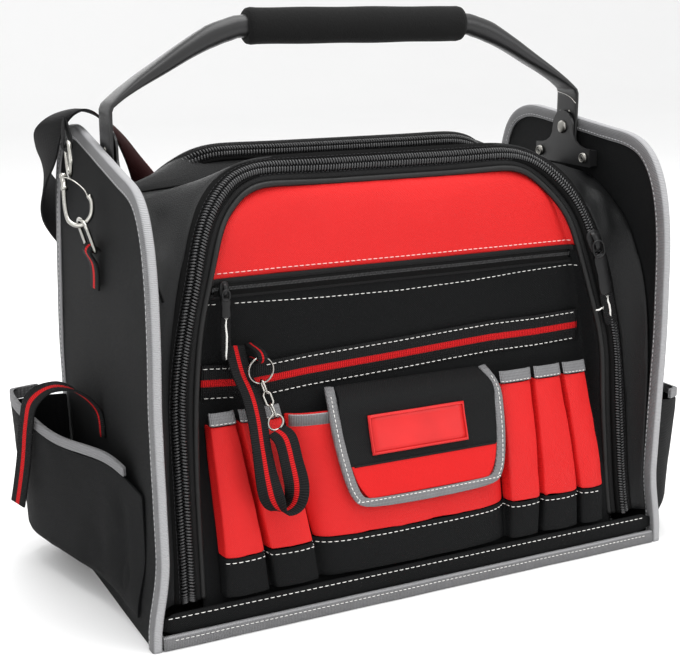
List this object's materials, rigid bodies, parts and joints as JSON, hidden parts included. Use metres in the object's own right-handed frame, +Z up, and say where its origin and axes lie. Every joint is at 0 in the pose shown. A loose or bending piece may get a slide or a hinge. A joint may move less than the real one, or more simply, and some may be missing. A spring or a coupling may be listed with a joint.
{
  "type": "open handled tool bag",
  "caption": "Tool bag with two arched zip doors, gathered front pockets, side pockets, a folding tube handle and a webbing shoulder strap.",
  "frame": {"origin": "on the floor under the bag, midway between the end panels, on the underside of the base board", "axes": "+X along the bag's length to its right end, -Y to the front with the pockets, +Z up"},
  "size_m": [0.5191, 0.2616, 0.4136],
  "materials": {
    "black_cloth": "coarse black polyester weave",
    "red_cloth": "bright red polyester weave",
    "grey_tape": "ribbed grey binding tape",
    "black_webbing": "black webbing with a thin red stripe",
    "black_zip": "black coil zip and moulded sliders",
    "black_steel": "satin black powder coat",
    "black_foam": "dull black foam",
    "bright_steel": "bright nickel plate",
    "red_rubber": "moulded red rubber with a raised rim"
  },
  "bodies": {
    "bag": {"base_binding_front": "grey_tape", "base_board": "black_cloth", "base_strip_front": "black_cloth", "base_strip_rear": "black_cloth", "crown_front": "red_cloth", "door_front": "black_cloth", "door_rear": "black_cloth", "end_panel_left": "black_cloth", "end_panel_right": "black_cloth", "flap": "black_cloth", "flap_binding": "grey_tape", "flap_patch": "red_rubber", "gusset_front": "black_cloth", "gusset_rear": "black_cloth", "handle_bracket_left": "black_steel", "handle_bracket_right": "black_steel", "handle_rivet_left": "bright_steel", "handle_rivet_right": "bright_steel", "key_chain": "bright_steel", "key_ring": "bright_steel", "key_tab": "black_webbing", "panel_binding_left": "grey_tape", "panel_binding_right": "grey_tape", "pocket_binding_left_inner": "grey_tape", "pocket_binding_left_outer": "grey_tape", "pocket_binding_right_inner": "grey_tape", "pocket_binding_right_middle": "grey_tape", "pocket_binding_right_outer": "grey_tape", "pocket_boots": "black_cloth", "pocket_left_inner": "red_cloth", "pocket_left_outer": "red_cloth", "pocket_middle": "red_cloth", "pocket_right_inner": "red_cloth", "pocket_right_middle": "red_cloth", "pocket_right_outer": "red_cloth", "ring_link_left": "bright_steel", "ring_link_right": "bright_steel", "ring_tab_left": "black_webbing", "ring_tab_right": "black_webbing", "shoulder_strap": "black_webbing", "side_binding_left": "grey_tape", "side_binding_right": "grey_tape", "side_pocket_left": "black_cloth", "side_pocket_right": "black_cloth", "side_tape_left": "black_webbing", "side_tape_right": "black_webbing", "slider_front": "black_zip", "slider_rear": "black_zip", "slider_slit": "black_zip", "snap_hook_left": "bright_steel", "snap_hook_right": "bright_steel", "swivel_ring": "bright_steel", "top_panel": "black_cloth", "webbing_band": "black_webbing", "wrist_loop": "black_webbing", "zip_front": "black_zip", "zip_rear": "black_zip", "zip_slit": "black_zip"},
    "handle": {"handle_grip": "black_foam", "handle_tube": "black_steel"}
  },
  "joints": [
    {"name": "handle_fold", "type": "hinge", "parent": "bag", "child": "handle", "pos_m": [0, 0.004, 0.318], "axis": [1, 0, 0], "range_deg": [-40, 90]}
  ]
}
